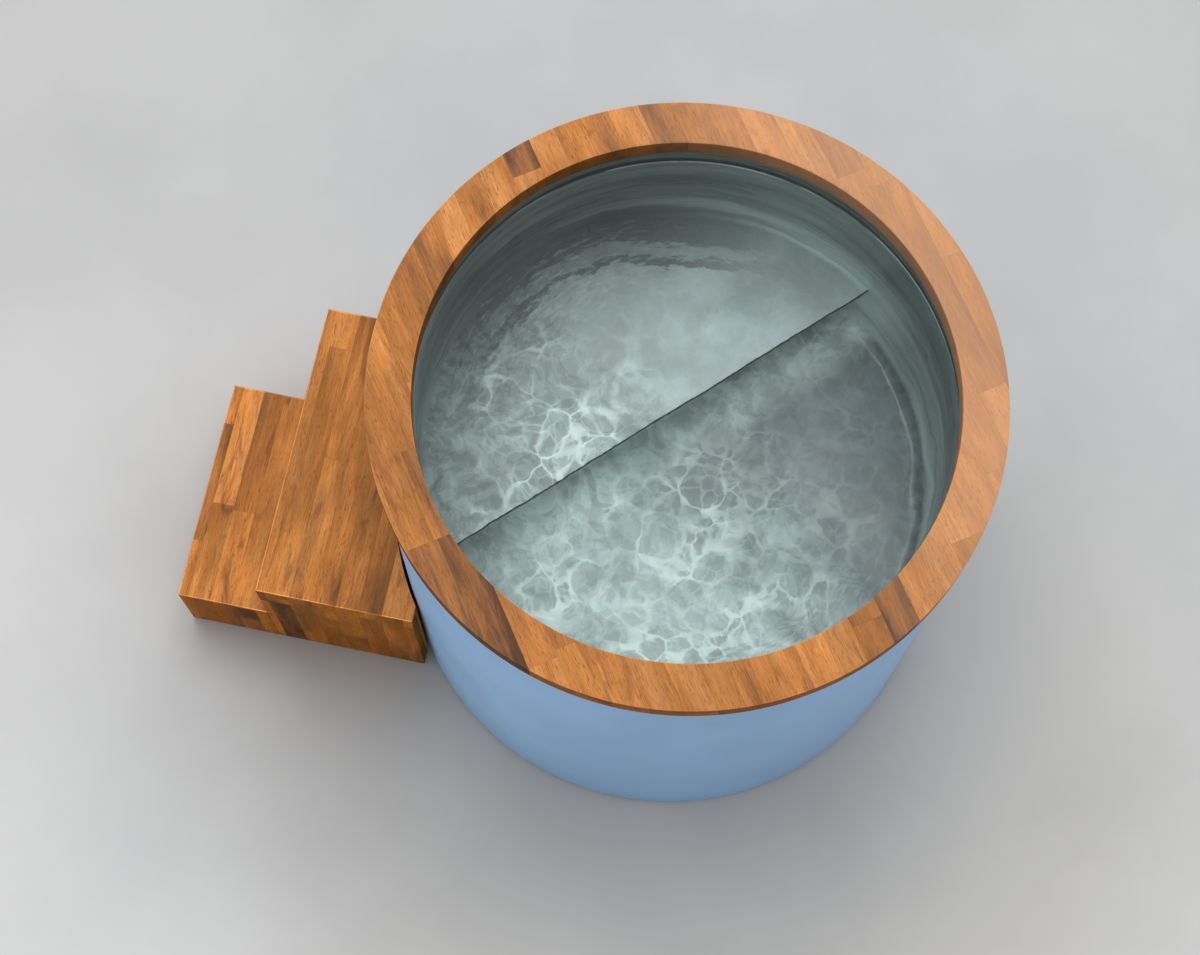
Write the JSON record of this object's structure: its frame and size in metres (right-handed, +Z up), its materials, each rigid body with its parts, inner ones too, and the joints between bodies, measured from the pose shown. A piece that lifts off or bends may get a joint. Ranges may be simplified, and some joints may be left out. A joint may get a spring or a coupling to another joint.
{
  "type": "cold plunge tub",
  "caption": "Round insulated cold plunge tub with a wooden rim ring, an inside bench and a drain valve, and a free-standing wooden step unit curved to its side.",
  "frame": {"origin": "on the tub's axis at floor level, under the centre pad", "axes": "+Z up along the tub's axis, -X towards the step unit, +Y towards the far end of the steps"},
  "size_m": [1.633, 1.2, 1.073],
  "materials": {
    "wood": "satin",
    "blue_paint": "satin",
    "tank": "satin",
    "foam": "matte",
    "base_board": "matte",
    "rubber": "matte",
    "plastic": "satin",
    "steel": "satin",
    "brass": "satin"
  },
  "bodies": {
    "tub": {"outer_shell": "blue_paint", "tank_wall": "tank", "tank_floor": "tank", "wall_insulation": "foam", "floor_insulation": "foam", "base_plate": "base_board", "rim_board": "wood", "rim_seal": "rubber", "centre_pad": "rubber", "base_pad_1": "rubber", "base_pad_2": "rubber", "base_pad_3": "rubber", "base_pad_4": "rubber", "bench_seat": "tank", "bench_front": "tank", "bench_rib_1": "tank", "bench_rib_2": "tank", "bench_ledger": "tank", "drain_body": "steel", "drain_grate": "steel", "drain_gasket": "rubber", "drain_nut": "plastic", "drain_elbow": "plastic", "waste_pipe": "plastic", "waste_grommet": "rubber", "valve_body": "brass", "hose_tail": "brass", "suction_body": "plastic", "suction_gasket": "rubber", "suction_nut": "plastic", "return_body": "plastic", "return_gasket": "rubber", "return_nut": "plastic"},
    "steps": {"upper_tread": "wood", "lower_tread": "wood", "near_side": "wood", "upper_far_side": "wood", "lower_far_side": "wood", "upper_riser": "wood", "lower_riser": "wood", "curved_back": "wood", "middle_rib": "wood", "upper_near_cleat": "wood", "upper_far_cleat": "wood", "lower_near_cleat": "wood", "lower_far_cleat": "wood", "step_foot_1": "rubber", "step_foot_2": "rubber", "step_foot_3": "rubber", "step_foot_4": "rubber", "step_foot_5": "rubber"},
    "valve": {"valve_ball": "steel", "valve_lever": "blue_paint"},
    "suction_cap": {"suction_cap": "plastic"},
    "return_cap": {"return_cap": "plastic"}
  },
  "joints": [
    {"name": "steps_slide", "type": "slide", "parent": "tub", "child": "steps", "axis": [-1, 0, 0], "range_m": [0, 0.4]},
    {"name": "valve_turn", "type": "hinge", "parent": "tub", "child": "valve", "pos_m": [-0.46232, 0.47046, 0.0613], "axis": [0, 0, 1], "range_deg": [0, 90]},
    {"name": "suction_cap_slide", "type": "slide", "parent": "tub", "child": "suction_cap", "axis": [-0.5664, 0.8241, 0], "range_m": [0, 0.06]},
    {"name": "return_cap_slide", "type": "slide", "parent": "tub", "child": "return_cap", "axis": [-0.4147, 0.91, 0], "range_m": [0, 0.06]}
  ]
}
